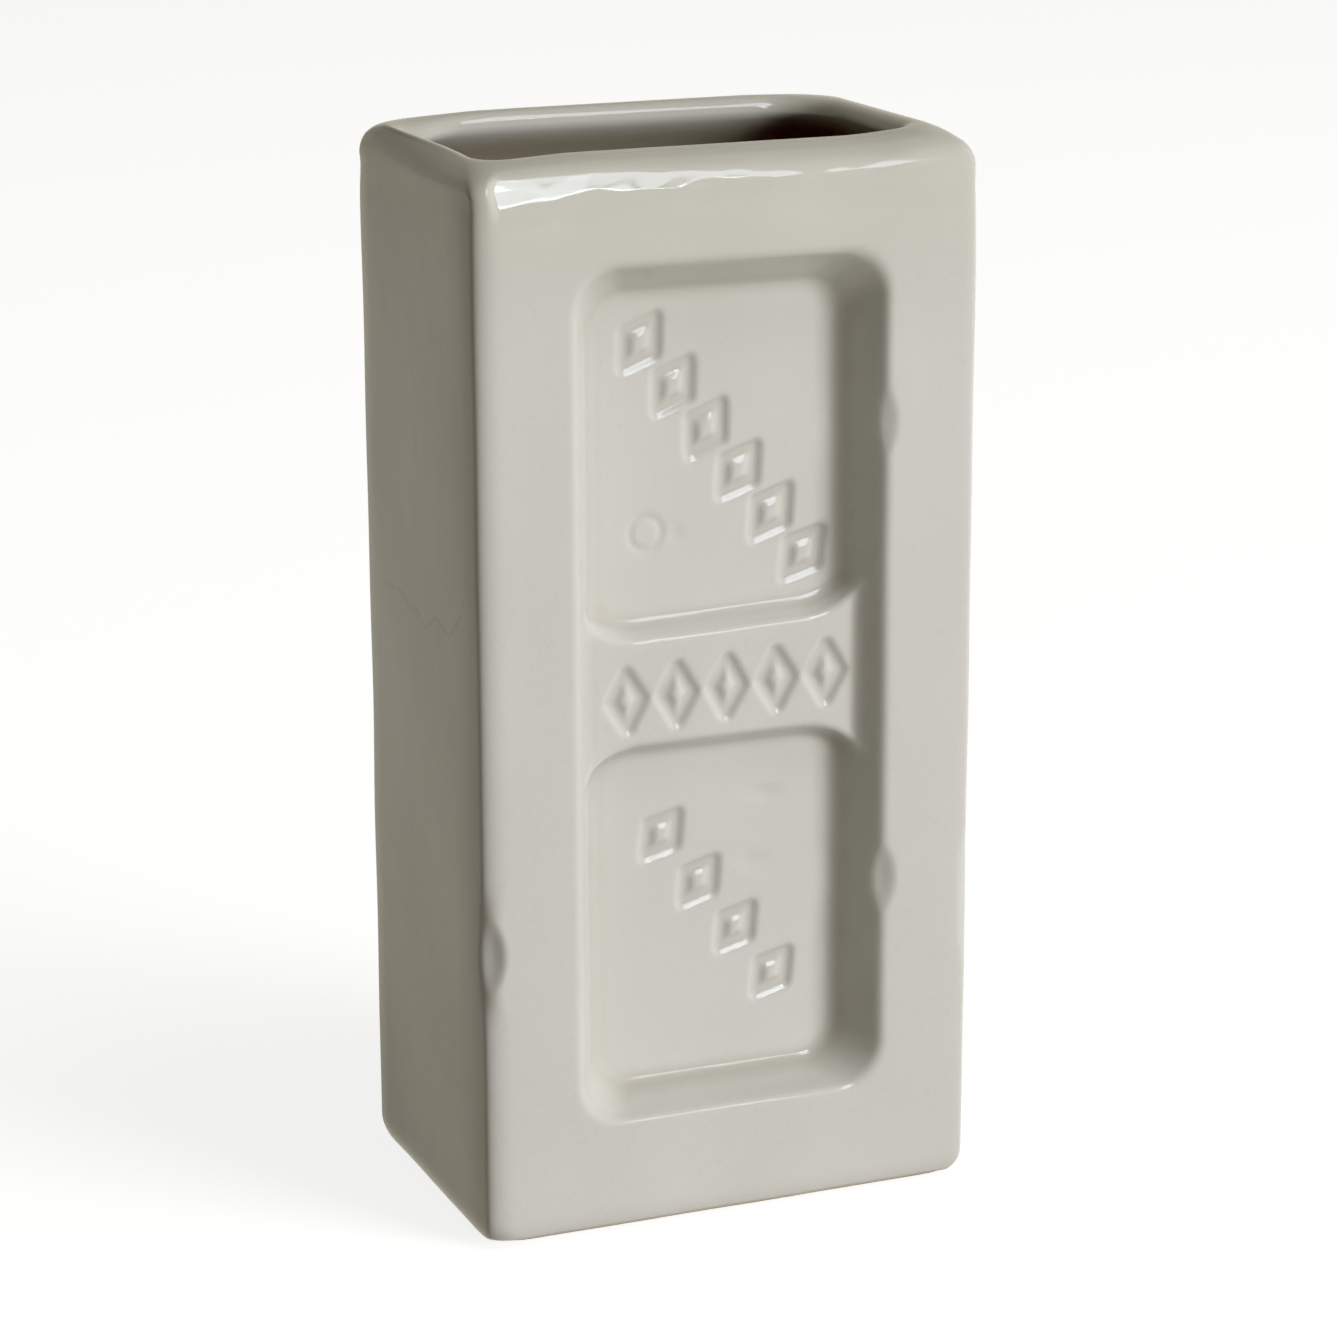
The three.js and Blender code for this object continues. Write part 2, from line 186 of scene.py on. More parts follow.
def inside_line(levels, steps, crisp):
    lip_z = HEIGHT - LIP_DROP
    lip_side = CREST_SIDE_INSET + LIP_SIDE_REACH
    lip = section(CREST_INSET + LIP_REACH, LIP_CORNER, lip_z, lip_side, MOUTH_SHIFT, LIP_BACK_CORNER)
    hollow = section(WALL, INNER_CORNER, lip_z - UNDERCUT)
    floor_edge = section(WALL + INNER_FLOOR_RADIUS, INNER_CORNER, FLOOR)
    line = []
    for turn in quarter_turns(steps)[:-1]:
        across, drop = math.sin(turn) ** (2 / crisp), math.cos(turn) ** (2 / crisp)
        line.append(between(CREST, lip, across, lip_z + LIP_DROP * drop))
    for share in np.linspace(0, 1, steps + 1):
        ease = (share * share * (3 - 2 * share) + math.sin(share * math.pi / 2)) / 2
        line.append(between(lip, hollow, ease, lip_z - UNDERCUT * share))
    floor_top = FLOOR + INNER_FLOOR_RADIUS
    line += [between(hollow, hollow, 0, z) for z in reversed(levels) if floor_top < z < hollow[Z]]
    for turn in quarter_turns(steps):
        z = FLOOR + INNER_FLOOR_RADIUS * (1 - math.sin(turn))
        line.append(between(hollow, floor_edge, 1 - math.cos(turn), z))
    return line


trial_inside = inside_line([], PLAIN_STEPS, PLAIN_LIP)
print("stops that the lip and the floor need:", len(trial_inside))


# %% Round the crest over, where the outer and the inner curve meet
ROUNDED_PART = 0.7


def rounded_over(line, times):
    high = line[:, Z] > HEIGHT - LIP_DROP * ROUNDED_PART
    start = line[high, Z].min()
    for _ in range(times):
        middle = (np.roll(line, 1, 0) + 2 * line + np.roll(line, -1, 0)) / 4
        line = np.where(high[:, None], middle, line)
    lift = (HEIGHT - start) / (line[:, Z].max() - start)
    line[high, Z] = start + (line[high, Z] - start) * lift
    return line


trial_line = rounded_over(np.vstack([trial_outside, trial_inside]), 2)
print("the rounded crest is still", trial_line[:, Z].max().round(2), "mm high")


# %% Move the whole line into the clay, and trim it at the bare foot
SHARPEST_CORNER = 0.5


def moved_in(line, distance):
    line = np.array(line)
    before, after = np.roll(line, 1, 0), np.roll(line, -1, 0)
    before[0], after[-1] = line[0], line[-1]
    along = after - before
    length = np.hypot(along[:, INSET], along[:, Z])
    inward, down = along[:, Z] / length, along[:, INSET] / length
    inward[0], down[0] = 1.0, 0.0
    moved = line.copy()
    moved[:, [INSET, SIDE]] += (distance * inward)[:, None]
    for corner in (CORNER, BACK):
        moved[:, corner] = np.maximum(line[:, corner] - distance * inward, SHARPEST_CORNER)
    moved[:, Z] -= distance * down
    return moved


def from_height(line, z):
    after = int(np.argmax(line[:, Z] > z))
    low, high = line[after - 1], line[after]
    share = (z - low[Z]) / (high[Z] - low[Z])
    return np.vstack([low + (high - low) * share, line[after:]])


trial_moved = moved_in(trial_line, np.ones(len(trial_line)))
print("moved in by 1 mm it is", trial_moved[:, Z].max().round(2), "mm high")

# %% [markdown]
# ## The sunk panel and its bar
# Brickmakers call the hollow in a brick's face its frog. Its walls slope so that the clay leaves
# the mould. Cutting it with a boolean would leave sharp, uneven facets just where the gloss shows
# most, so here it is a height field: for each point of the face, how deep the glaze lies. The
# inside of the wall and the skin under the glaze come from the same function, moved into the clay.


# %% A soft step, and soft joins of two depths
def smoothly(value, start, run):
    share = np.clip((value - start) / run, 0, 1)
    return share * share * (3 - 2 * share)


def softly_least(a, b, blend):
    near = np.maximum(blend - np.abs(a - b), 0) / blend
    return np.minimum(a, b) - near * near * blend / 4


def softly_most(a, b, blend):
    return -softly_least(-a, -b, blend)


print("a quarter of the way through a soft step:", smoothly(0.25, 0, 1).round(3))


# %% How deep a sloped wall is at each step in from its edge
PROFILE_STEPS = 12


def slope_profile(run, depth, roll, fillet):
    steep = math.atan2(depth, run)
    roll_reach, fillet_reach = roll * math.tan(steep / 2), fillet * math.tan(steep / 2)
    turns = np.linspace(0, steep, PROFILE_STEPS)
    rolled, filleted = roll * np.sin(turns), fillet * np.sin(turns[::-1])
    inset = np.concatenate([rolled - roll_reach, run + fillet_reach - filleted])
    deep = np.concatenate([roll * (1 - np.cos(turns)), depth - fillet * (1 - np.cos(turns[::-1]))])
    return inset, deep


def outside_distance(x, z, left, right, low, high, corner):
    qx = np.abs(x - (left + right) / 2) - (right - left) / 2 + corner
    qz = np.abs(z - (low + high) / 2) - (high - low) / 2 + corner
    return np.hypot(np.maximum(qx, 0), np.maximum(qz, 0)) + np.minimum(np.maximum(qx, qz), 0) - corner


frog_slope = slope_profile(FROG_SIDE_RUN, FROG_DEPTH, FROG_ROLL, FROG_FILLET)
print("the frog's side walls reach", frog_slope[0].max().round(2), "mm in from the edge")


# %% The frog's depth, found by closing in on the ring that passes through each point
CLOSING_STEPS, LEAST_ROLL = 18, 0.6


def frog_depth(x, z, distance):
    steep = math.atan2(FROG_DEPTH, FROG_SIDE_RUN)
    grow = distance * math.tan(steep / 2)
    low, high = np.full(x.shape, -1.0), np.full(x.shape, 2.0)
    for _ in range(CLOSING_STEPS):
        share = (low + high) / 2
        corner = FROG_CORNER + (FROG_FLOOR_CORNER - FROG_CORNER) * share + grow
        away = outside_distance(
            x,
            z,
            FROG_LEFT - grow + FROG_SIDE_RUN * share,
            FROG_RIGHT + grow - FROG_SIDE_RUN * share,
            FROG_FROM_FOOT - grow + FROG_BOTTOM_RUN * share,
            FROG_TOP + grow - FROG_TOP_RUN * share,
            corner,
        )
        low, high = np.where(away < 0, share, low), np.where(away < 0, high, share)
    roll = max(FROG_ROLL - distance, LEAST_ROLL)
    inset, deep = slope_profile(FROG_SIDE_RUN, FROG_DEPTH, roll, FROG_FILLET + distance)
    return np.interp((low + high) / 2 * FROG_SIDE_RUN, inset, deep)


frog_middle = frog_depth(np.array([0.0]), np.array([150.0]), 0.0)
print("depth of the frog's floor:", frog_middle.round(2))


# %% The bar that stands in the frog, flared where it meets the walls
BAR_CLIMB = BAR_TOP_RISE / FROG_WIDTH
BLEND = 2.6
FLARE_END, NO_FILLET, INSIDE_FROG = 0.98, 0.01, 0.01


def bar_depth(x, z, distance):
    grow = distance * math.tan(math.atan2(FROG_DEPTH - BAR_BELOW_FACE, BAR_RUN) / 2)
    half = FROG_WIDTH / 2 - FROG_SIDE_RUN * BAR_BELOW_FACE / FROG_DEPTH
    along = np.clip((np.abs(x - FROG_SHIFT) - half + BAR_FLARE_RUN) / BAR_FLARE_RUN, 0, FLARE_END)
    flare = BAR_FLARE_RISE * (1 - np.sqrt(1 - along**2))
    above = z - (BAR_HIGH - grow + flare + BAR_CLIMB * (x - FROG_SHIFT))
    below = BAR_LOW + grow - flare - z
    past = np.maximum(above, below)
    roll = max(BAR_ROLL - distance, LEAST_ROLL)
    inset, deep = slope_profile(BAR_RUN, FROG_DEPTH - BAR_BELOW_FACE, roll, NO_FILLET)
    steep = (FROG_DEPTH - BAR_BELOW_FACE) / BAR_RUN
    beyond = np.maximum(past - BAR_RUN, 0) * steep
    return BAR_BELOW_FACE + np.interp(past, inset, deep) + beyond


def panel_depth(x, z, distance):
    frog = frog_depth(x, z, distance)
    with_bar = softly_least(frog, bar_depth(x, z, distance), BLEND)
    return np.maximum(np.where(frog > INSIDE_FROG, with_bar, frog), 0)


upper_panel = panel_depth(np.array([0.0]), np.array([150.0]), 0.0)
print("depth in the middle of the upper panel:", upper_panel.round(2))

# %% [markdown]
# ## Wear and hand work
# The brick that the mould was taken from had flakes knocked off its edges. Such a flake has the
# shape of part of an egg that bites the edge slantwise, and the glaze melts its rim soft. A screw's
# head left a ring in the panel and thumbs left dimples, and the top edge was rubbed down where the
# vase was held. A slow, shallow wave over all faces keeps the reflections from looking machined.
# All this could be sculpted, but formulas that add to the depth keep its sizes by name, and come
# out alike each run.

# %% Flakes: the edge's place, the flake's middle height, its slant and how deep it bites
FROG_SLANT = -math.atan2(FROG_DEPTH, FROG_SIDE_RUN) / 2
FLAKES = [
    ("upper chip", FROG_RIGHT, 159.0, FROG_SLANT, 1.0),
    ("lower chip", FROG_RIGHT, 66.5, FROG_SLANT, 1.4),
    ("arris chip", -WIDTH / 2, 60.8, -0.396, 2.7),
]
FLAKE_MELT, MISSED = 0.9, -9.0


def flake_reach(start, heading, flake):
    """How far along its heading each point goes before it leaves the flake's egg."""
    _, edge_x, middle_z, slant, depth = flake
    turn = np.array([[math.cos(slant), math.sin(slant)], [-math.sin(slant), math.cos(slant)]])
    halves = np.array([FLAKE_HALF_WIDTH, FLAKE_HALF_THICKNESS])
    from_edge = (start[:, :2] - (edge_x, FACE)) @ turn.T
    from_middle = (from_edge - (0, depth - FLAKE_HALF_THICKNESS)) / halves
    along = heading @ turn.T / halves
    up = (start[:, 2] - middle_z) / FLAKE_HALF_HEIGHT
    a, b = (along**2).sum(1), (along * from_middle).sum(1)
    c = (from_middle**2).sum(1) + up**2 - 1
    root = np.sqrt(np.maximum(b * b - a * c, 0))
    return np.where((root > 0) & (b + root > 0), (root - b) / a, MISSED)


def chipped(points, heading, depth):
    for flake in FLAKES:
        depth = softly_most(depth, flake_reach(points, heading, flake), FLAKE_MELT)
    return depth


print("flakes:", ", ".join(flake[0] for flake in FLAKES))


# %% Dimples, given by middle, half sizes and depth, and the ring that a screw's head left
DIMPLES = [
    ("faint mark", -7.4, 138.3, 2.2, 2.4, 0.2),
    ("thumb smear", 11.0, 84.0, 5.5, 2.2, 0.3),
    ("lower smear", 9.0, 70.0, 5.0, 2.6, 0.22),
]
DIMPLE_EDGE = 1.5
SCREW_X, SCREW_Z, SCREW_RADIUS, SCREW_HALF_STROKE, SCREW_DEPTH = -13.7, 138.9, 3.3, 1.0, 0.3


def dimples(x, z):
    total = np.zeros(x.shape)
    for _, middle_x, middle_z, half_x, half_z, depth in DIMPLES:
        spread = ((x - middle_x) / half_x) ** 2 + ((z - middle_z) / half_z) ** 2
        total += depth * np.clip(1 - spread, 0, 1) ** DIMPLE_EDGE
    from_ring = (np.hypot(x - SCREW_X, z - SCREW_Z) - SCREW_RADIUS) / SCREW_HALF_STROKE
    return total + SCREW_DEPTH * np.clip(1 - from_ring**2, 0, 1) ** DIMPLE_EDGE


on_ring = dimples(np.array([SCREW_X - SCREW_RADIUS]), np.array([SCREW_Z]))
print("the screw's ring is", on_ring.round(2), "mm deep")


# %% The front top edge, rubbed down further towards the left
RUB_START, RUB_RISE, RUB_SLOPE, RUB_BLEND, RUB_MOST = 203.0, 0.085, 0.42, 1.2, 1.6


def rubbed_edge(x, z, inset):
    start = RUB_START + RUB_RISE * (x + WIDTH / 2)
    bevel = (z - start) * RUB_SLOPE
    return np.clip(softly_most(bevel, np.full(x.shape, inset), RUB_BLEND) - inset, 0, RUB_MOST)


top_ends = rubbed_edge(np.array([-WIDTH / 2, WIDTH / 2]), np.full(2, HEIGHT - SHOULDER_DROP), 0.0)
print("rubbed off at the left and the right end:", top_ends.round(2), "mm")


# %% A slow wave, and a livelier one where the rim was wiped by hand, never proud of the face
WAVES = [(0.142, 0.043, 0.4), (-0.104, 0.097, 2.1), (0.226, -0.031, 4.0), (0.058, 0.151, 1.2)]
WAVE_DEPTH = 0.05
WIPES = [(0.12, 0.45, 0.3), (-0.3, 0.8, 1.9), (0.6, -0.9, 3.2), (0.17, 1.4, 0.8)]
WIPE_DEPTH, WIPE_START, WIPE_RUN = 0.035, 196.0, 8.0


def rippled(waves, depth, u, z):
    total = sum(np.sin(a * u + b * z + c) for a, b, c in waves)
    return depth * (len(waves) + total)


def slow_wave(u, z):
    near_rim = smoothly(z, WIPE_START, WIPE_RUN)
    return rippled(WAVES, WAVE_DEPTH, u, z) + near_rim * rippled(WIPES, WIPE_DEPTH, u, z)


print("the slow wave is never deeper than", round(2 * WAVE_DEPTH * len(WAVES), 2), "mm")

# %% [markdown]
# ## From sections to a skin
# Each section becomes one ring of points, all rings with the same count, so that neighbours join
# into quads. The front side has many points and the others few, because only the front carries
# detail. The rim was wiped by hand and dips towards the front, which the rings follow.

# %% Where the points of a ring stand
FRONT_PITCH, MARGIN, RIGHT_MARGIN = 0.62, 2.5, 5.0
LEFT_POINTS, RIGHT_POINTS = 23, 9
SLANT, LEFT_REACH, RIGHT_REACH, LEAST_REACH = 1.5, (1.5, -1.5), (-1.5, 1.0), 0.4
FRONT_LEFT, FRONT_RIGHT = ARRIS_RADIUS + SLANT - WIDTH / 2, WIDTH / 2 - ARRIS_RADIUS + SLANT
SIDE_SHARES = np.array([-1, -0.97, -0.94, -0.9, -0.82, -0.6, -0.25, 0.25, 0.6, 0.85, 1])
BACK_SHARES = np.linspace(-1, 1, 9)
CORNER_TURNS = np.radians(np.linspace(0, 90, 8))[1:-1]


def front_shares():
    left = np.linspace(FRONT_LEFT, FROG_LEFT - MARGIN, LEFT_POINTS)
    middle = np.arange(FROG_LEFT - MARGIN + FRONT_PITCH, FROG_RIGHT + RIGHT_MARGIN, FRONT_PITCH)
    right = np.linspace(FROG_RIGHT + RIGHT_MARGIN, FRONT_RIGHT, RIGHT_POINTS)
    places = np.concatenate([left, middle, right])
    return 2 * (places - FRONT_LEFT) / (FRONT_RIGHT - FRONT_LEFT) - 1


FRONT_SHARES = front_shares()


def ring_plan(half_x, half_y, corner, back, soft=0.0):
    """One level outline. Its front corners are a little oval where it is soft."""
    points, outward = [], []
    left_x, left_y = (max(corner + more * soft, LEAST_REACH) for more in LEFT_REACH)
    right_x, right_y = (max(corner + more * soft, LEAST_REACH) for more in RIGHT_REACH)

    def side(shares, start, end, facing):
        for share in (shares + 1) / 2:
            points.append(tuple(a + (b - a) * share for a, b in zip(start, end)))
            outward.append(facing)

    def round_corner(reach_x, reach_y, side_x, side_y, first_turn):
        centre_x, centre_y = side_x * (half_x - reach_x), side_y * (half_y - reach_y)
        for turn in CORNER_TURNS + first_turn:
            east, north = math.cos(turn), math.sin(turn)
            points.append((centre_x + reach_x * east, centre_y + reach_y * north))
            length = math.hypot(reach_y * east, reach_x * north)
            outward.append((reach_y * east / length, reach_x * north / length))

    back_x, back_y = half_x - back, half_y - back
    side(FRONT_SHARES, (left_x - half_x, -half_y), (half_x - right_x, -half_y), (0, -1))
    round_corner(right_x, right_y, 1, -1, -math.pi / 2)
    side(SIDE_SHARES, (half_x, right_y - half_y), (half_x, back_y), (1, 0))
    round_corner(back, back, 1, 1, 0)
    side(BACK_SHARES, (back_x, half_y), (-back_x, half_y), (0, 1))
    round_corner(back, back, -1, 1, math.pi / 2)
    side(-SIDE_SHARES[::-1], (-half_x, back_y), (-half_x, left_y - half_y), (-1, 0))
    round_corner(left_x, left_y, -1, -1, math.pi)
    return np.array(points), np.array(outward)


print("points in a ring:", len(ring_plan(50, 30, 4, 4)[0]))


# %% The hand trim of the rim, and the left side drawn in
CREST_BACK = DEPTH / 2 - CREST_INSET
TRIM_RISE, TRIM_SAG = 0.4, 0.6
RIDGE_PULL, RIDGE_X, RIDGE_X_RUN, RIDGE_Y, RIDGE_Y_RUN = 2.4, 36.0, 10.0, -12.0, 34.0
DRAW_DEPTH, DRAW_X, DRAW_X_RUN, DRAW_Y, DRAW_Y_RUN = 0.8, 38.0, 12.0, -23.0, 10.0


def lean(x, y, z):
    near = np.clip((z - HEIGHT + DIP_REACH) / DIP_REACH, 0, 1)
    forward = (CREST_BACK - y) / (2 * CREST_BACK)
    right = smoothly(x, RIM_END, RIM_END_RUN)
    front_dip = FRONT_RIM_DIP - (RIGHT_RIM_RISE + TRIM_RISE) * right
    dip = front_dip * forward + TRIM_SAG * right * (1 - forward)
    return z - near * (dip + LEFT_RIM_SAG * smoothly(-x, RIM_END, RIM_END_RUN))


def pulled_out(x, y, share):
    """At the back of the left end the rim is broader, so its ridge lies further out."""
    near = smoothly(-x, RIDGE_X, RIDGE_X_RUN) * smoothly(y, RIDGE_Y, RIDGE_Y_RUN)
    return RIDGE_PULL * share * near


def drawn_in(x, y):
    """The mould's left side pulls in a little before it meets the front."""
    near = np.clip((DRAW_Y - y) / DRAW_Y_RUN, 0, 1) ** 2
    return DRAW_DEPTH * near * smoothly(-x, DRAW_X, DRAW_X_RUN)


rim_ends = lean(np.zeros(2), np.array([-CREST_BACK, CREST_BACK]), np.full(2, HEIGHT))
print("the rim's height at the front and the back:", rim_ends.round(2), "mm")


# %% Turn a section into a ring of points
SOFT_FADE = 9.0
CHIP_CLEAR, CHIP_FADE = 6.5, 9.0


def ring(stop, distance, inside):
    inset, side, shift, corner, back, height = stop
    soft, ridge = 0.0, smoothly(height, HEIGHT - LIP_DROP, LIP_DROP)
    if not inside:
        soft = 1 - smoothly(height, HEIGHT - SOFT_FADE, SOFT_FADE)
        ridge = min(side / CREST_SIDE_INSET, 1) if height > HEIGHT / 2 else 0.0
    oval = soft * smoothly(abs(height - FLAKES[-1][2]), CHIP_CLEAR, CHIP_FADE)
    plan, outward = ring_plan(WIDTH / 2 - side, DEPTH / 2 - inset, corner, back, oval)
    x, y = plan[:, 0] - shift, plan[:, 1]
    x = x + soft * drawn_in(x, y) - pulled_out(x, y, ridge)
    z = lean(x, y, np.full(x.shape, height))
    points = np.column_stack([x, y, z])
    front = np.arange(len(x)) < len(FRONT_SHARES)
    if inside:
        sink = np.where(front, panel_depth(x, z, WALL - distance), 0)
    else:
        pressed_in = panel_depth(x, z, distance) + dimples(x, z) + rubbed_edge(x, z, inset)
        sink = np.where(front, pressed_in, 0)
        sink = chipped(points, -outward, sink) + slow_wave(x + y, z)
    points[:, :2] -= outward * sink[:, None]
    return points


crest_ring = ring(CREST, 0.0, False)
print("the crest's ring is", np.ptp(crest_ring[:, 0]).round(1), "mm wide")


# %% Where the rings stand: close together on the front panel, far apart elsewhere
FOOT_RINGS, NECK_RINGS, INNER_RINGS, PANEL_START = 10, 7, 40, 2.0
PANEL_STEPS = (-4, -1.5, 1, 3, 5, 8, 20)
BAR_STEPS = (-14, -4, -2, 0, 2, 11, 19, 21, 23, 25, 30)
CHIP_STEPS = (-6.1, -2, 2, 6.1)
TOP_STEPS = (-20, -9, -6, -4, -2, 1, 4)


def fine_levels():
    foot = np.linspace(FOOT_RISE, FROG_FROM_FOOT - MARGIN, FOOT_RINGS)[1:]
    panel = np.arange(FROG_FROM_FOOT - PANEL_START, FROG_TOP + MARGIN, FRONT_PITCH)
    neck = np.linspace(FROG_TOP + MARGIN, HEIGHT - SHOULDER_DROP, NECK_RINGS)
    return np.concatenate([foot, panel, neck])


def key_levels():
    around = [(FROG_FROM_FOOT, PANEL_STEPS), (BAR_LOW, BAR_STEPS), (FROG_TOP, TOP_STEPS)]
    around += [(flake[2], CHIP_STEPS) for flake in FLAKES]
    return sorted(place + step for place, steps in around for step in steps)


def inner_levels():
    top = HEIGHT - LIP_DROP - UNDERCUT
    return list(np.linspace(FLOOR + INNER_FLOOR_RADIUS, top, INNER_RINGS))[1:-1]


print("levels up the outside:", len(fine_levels()), "and down the inside:", len(inner_levels()))


# %% Join rings into faces, with the ends closed on a middle point
def skin_faces(count, first, rings, flip=False):
    here = np.arange(count)
    after = (here + 1) % count
    faces = []
    for step in range(rings - 1):
        low, high = first + step * count, first + (step + 1) * count
        quad = np.column_stack([low + here, low + after, high + after, high + here])
        faces += (quad[:, ::-1] if flip else quad).tolist()
    return faces


def cap_faces(count, first, middle, flip=False):
    here = np.arange(count)
    after = (here + 1) % count
    fan = np.column_stack([first + here, first + after, np.full(count, middle)])
    return (fan[:, ::-1] if flip else fan).tolist()


def mesh_object(name, points, faces):
    mesh = bpy.data.meshes.new(name)
    mesh.from_pydata((np.asarray(points) / 1000).tolist(), [], faces)
    mesh.validate()
    mesh.shade_smooth()
    piece = bpy.data.objects.new(name, mesh)
    bpy.context.collection.objects.link(piece)
    print(name, "has", len(mesh.vertices), "points and", len(mesh.polygons), "faces")
    return piece


# %% [markdown]
# ## The glazed skin
# Glass melted on pottery has a body of its own: it rounds every edge, and it ends in a soft bead
# above the foot, where the potter wiped it off so that the vase doesn't stick to the kiln shelf. A
# Solidify modifier could thicken an open skin, but here it has to thin out towards the foot, and
# its hidden side needs far fewer points. So it is closed by hand: the glazed side outside, over the
# rim and inside, and a plainer side two millimetres down in the clay, so that marks can be pressed
# without breaking through.

# %% Build the glazed skin
SKIN = 2.0


def skin_rings(levels, steps, distance_at):
    seen = distance_at is None
    outside = np.array(outside_line(levels, steps))
    within = inner_levels()[:: 1 if seen else 2]
    inside = inside_line(within, steps, CRISP_LIP if seen else PLAIN_LIP)
    line = rounded_over(np.vstack([outside, inside]), steps // 2 if seen else 2 * steps)
    distance = np.zeros(len(line))
    if not seen:
        distance = np.array([distance_at(z, i >= len(outside)) for i, z in enumerate(line[:, Z])])
    is_inside = np.arange(len(line)) >= len(outside)
    moved = moved_in(line, distance)
    return moved, distance, is_inside


def skin_depth(z, inside):
    if inside:
        return SKIN
    ease = min(max((z - BARE_FOOT) / FOOT_RISE, 0), 1)
    return GLAZE + (SKIN - GLAZE) * ease


def rings_from(line, distance, is_inside, z):
    start = from_height(line, z)
    cut = len(line) - len(start)
    rings = [ring(s, d, i) for s, d, i in zip(start, distance[cut:], is_inside[cut:])]
    return rings, is_inside[cut:]


def glazed_skin():
    outer_rings, outer_inside = rings_from(*skin_rings(fine_levels(), FINE_STEPS, None), BARE_FOOT)
    under_rings, _ = rings_from(*skin_rings(key_levels(), PLAIN_STEPS, skin_depth), BARE_FOOT)
    count = len(outer_rings[0])
    points = np.vstack(outer_rings + under_rings + [[[0, 0, FLOOR]], [[0, 0, FLOOR - SKIN]]])
    under_first = len(outer_rings) * count
    poles = under_first + len(under_rings) * count
    faces = skin_faces(count, 0, len(outer_rings))
    faces += cap_faces(count, under_first - count, poles)
    faces += skin_faces(count, under_first, len(under_rings), flip=True)
    faces += cap_faces(count, poles - count, poles + 1, flip=True)
    here = np.arange(count)
    after = (here + 1) % count
    bead = np.column_stack([here, under_first + here, under_first + after, after])
    return mesh_object("glazed_skin", points, faces + bead.tolist()), outer_rings, outer_inside


glazed, glazed_rings, glazed_inside = glazed_skin()

# %% [markdown]
# ## What the glaze knows about the shape
# Molten glaze runs off edges and gathers in hollows, and it turns greyer where it is thick. Such
# places could be painted by hand. But the mesh already knows them, so three numbers are stored on
# each point for the material: how far it lies below its neighbours, where the glaze is greyer and
# also takes painted shade; how chipped it is, where it takes painted shade; and whether it is inside
# the vase below the lip, where it takes painted shade and, at the right end, a brown painted shadow.
# A fourth says where marks may be pressed.

# %% Store hollows, chips and the front face as attributes
SMOOTHINGS = 14
INSIDE_SHADE_RUN = 4.0


def hollows(depth):
    smoothed = depth.copy()
    for _ in range(SMOOTHINGS):
        edge = np.pad(smoothed, 1, mode="edge")
        smoothed = (edge[:-2, 1:-1] + edge[2:, 1:-1] + edge[1:-1, :-2] + edge[1:-1, 2:]) / 4
    return depth - smoothed


def store(mesh, name, values):
    attribute = mesh.attributes.new(name, "FLOAT", "POINT")
    attribute.data.foreach_set("value", np.asarray(values, dtype=np.float32))


def mark_shape(mesh, rings, is_inside):
    outside = int(np.argmax(is_inside))
    fronts = len(FRONT_SHARES)
    grid = np.array([r[:fronts, 1] for r in rings[:outside]])
    pool_and_shade, chip_shade, front_face = (np.zeros(len(mesh.vertices)) for _ in range(3))
    count = len(rings[0])
    place = (np.arange(outside)[:, None] * count + np.arange(fronts)[None, :]).ravel()
    # How far each front point lies below its neighbours: greyer pooled glaze there, and painted
    # shade.
    pool_and_shade[place] = hollows(grid).ravel()
    front_face[place] = 1
    points = np.vstack(rings[:outside])
    # How chipped each point is; the glaze paints shade onto the chips.
    for flake in FLAKES:
        inward = np.tile([-math.sin(flake[3]), math.cos(flake[3])], (len(points), 1))
        on_flake = 1 - np.abs(flake_reach(points, inward, flake)) / FLAKE_MELT
        chip_shade[: len(points)] = np.maximum(chip_shade[: len(points)], on_flake)
    # Inside, below the lip, the glaze takes painted shade.
    within = np.zeros(len(mesh.vertices))
    below_lip = HEIGHT - LIP_DROP - np.vstack(rings[outside:])[:, 2]
    first_within = outside * count
    within[first_within : first_within + len(below_lip)] = smoothly(below_lip, 0, INSIDE_SHADE_RUN)
    store(mesh, "pool_and_shade", pool_and_shade)
    store(mesh, "chip_shade", chip_shade)
    store(mesh, "front_face", front_face)
    store(mesh, "within", within)
    print("deepest hollow", round(pool_and_shade.max(), 2), "mm, proudest edge", round(pool_and_shade.min(), 2), "mm")


mark_shape(glazed.data, glazed_rings, glazed_inside)

# %% [markdown]
# ## Marks pressed by hand
# A potter presses a stamp into the soft mould again and again along a line, and no two marks turn
# out quite alike. A boolean could cut them, but would leave hard edges where molten glaze leaves
# soft ones. Geometry Nodes press instead: points along a line, a diamond outline on each with its
# own small turn, and the skin pushed in wherever it lies near an outline. One tree serves the
# slanting row at the top, the level row on the bar and the slanting row at the bottom.


# %% A helper that adds a node and links or fills its inputs
def node(tree, kind, inputs=None, **settings):
    made = tree.nodes.new(kind)
    for name, value in settings.items():
        setattr(made, name, value)
    for name, value in (inputs or {}).items():
        target = made.inputs[name]
        if isinstance(value, bpy.types.NodeSocket):
            tree.links.new(value, target)
        else:
            target.default_value = value
    return made


def calculate(tree, operation, first, second=0.5):
    made = node(tree, "ShaderNodeMath", {0: first, 1: second}, operation=operation)
    return made.outputs[0]


# %% What the tree for a row is given, with lengths in metres
GIVEN = [
    ("Skin", "Geometry", None),
    ("First mark", "Vector", None),
    ("Last mark", "Vector", None),
    ("Marks", "Int", None),
    ("Mark width", "Float", None),
    ("Half height", "Float", None),
    ("Turn", "Float", None),
    ("Stroke", "Float", 0.0013),
    ("Melt", "Float", 0.0008),
    ("Depth", "Float", 0.0009),
    ("Seed", "Int", 3),
    ("Glaze", "Material", None),
]


